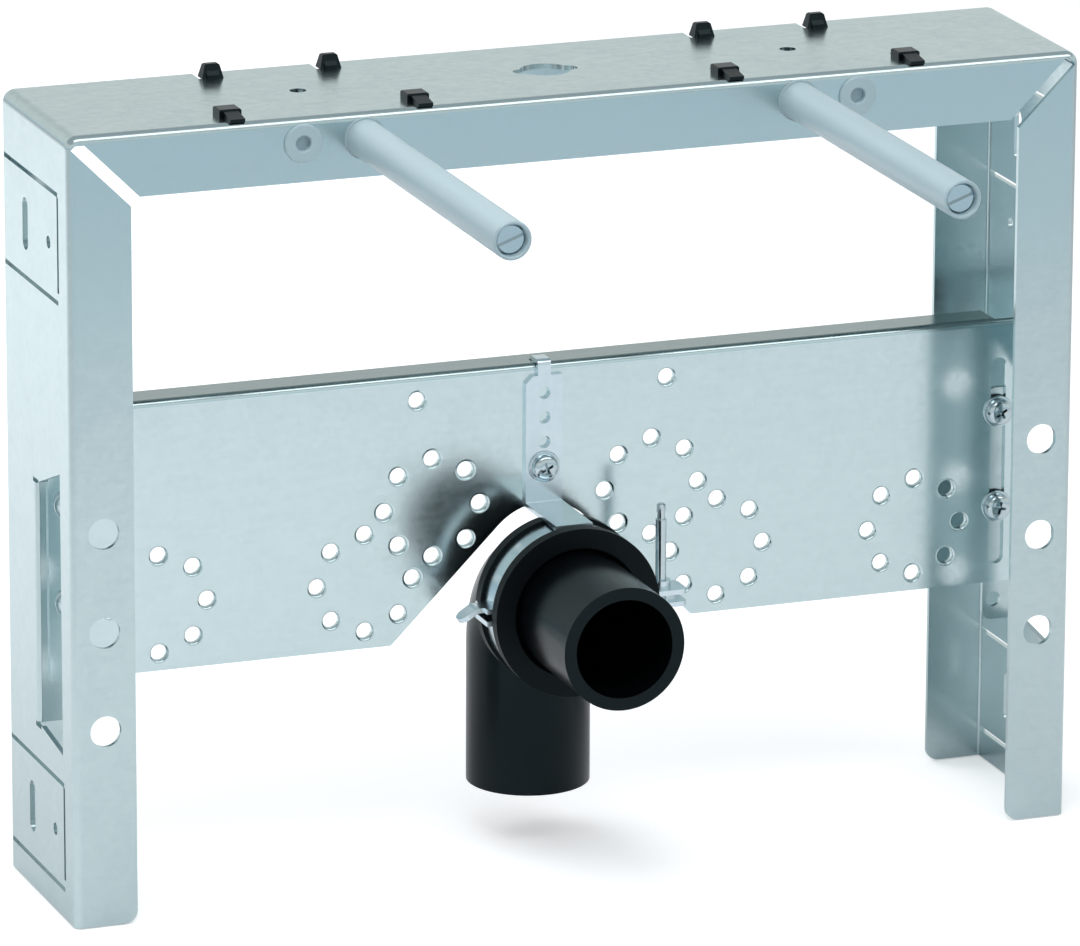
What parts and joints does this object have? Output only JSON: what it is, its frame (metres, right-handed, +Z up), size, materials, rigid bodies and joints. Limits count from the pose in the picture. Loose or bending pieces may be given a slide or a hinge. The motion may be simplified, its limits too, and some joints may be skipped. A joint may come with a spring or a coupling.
{
  "type": "wall-hung bidet mounting frame",
  "caption": "Folded steel portal frame that carries a wall-hung bidet on two sleeved studs, with a perforated cross plate and a clamped waste bend.",
  "frame": {"origin": "on the floor, in the middle between the two uprights and between the stud ends and the rear flanges", "axes": "+X along the wall to the right seen from the bidet, +Y into the wall, +Z up"},
  "size_m": [0.42, 0.25, 0.3236],
  "materials": {
    "galvanised_steel": "satin",
    "zinc_plated_steel": "bright zinc",
    "clear_polyethylene": "translucent, frosted",
    "black_polyethylene": "satin",
    "black_clip_plastic": "matt",
    "liner_rubber": "matt"
  },
  "bodies": {
    "root": {"clamp_half_lower": "galvanised_steel", "clamp_half_upper": "galvanised_steel", "clamp_liner": "liner_rubber", "clamp_screw": "zinc_plated_steel", "cross_plate": "galvanised_steel", "frame_channel": "galvanised_steel", "hanger_screw": "zinc_plated_steel", "hanger_strip": "galvanised_steel", "hole_plug_left": "clear_polyethylene", "hole_plug_right": "clear_polyethylene", "plate_screw_lower_left": "zinc_plated_steel", "plate_screw_lower_right": "zinc_plated_steel", "plate_screw_upper_left": "zinc_plated_steel", "plate_screw_upper_right": "zinc_plated_steel", "snap_clip_front_inner_left": "black_clip_plastic", "snap_clip_front_inner_right": "black_clip_plastic", "snap_clip_front_outer_left": "black_clip_plastic", "snap_clip_front_outer_right": "black_clip_plastic", "snap_clip_rear_inner_left": "black_clip_plastic", "snap_clip_rear_inner_right": "black_clip_plastic", "snap_clip_rear_outer_left": "black_clip_plastic", "snap_clip_rear_outer_right": "black_clip_plastic", "stud_cradle_left": "galvanised_steel", "stud_cradle_right": "galvanised_steel", "stud_left": "zinc_plated_steel", "stud_right": "zinc_plated_steel", "stud_sleeve_left": "clear_polyethylene", "stud_sleeve_right": "clear_polyethylene", "waste_bend": "black_polyethylene"}
  },
  "joints": []
}
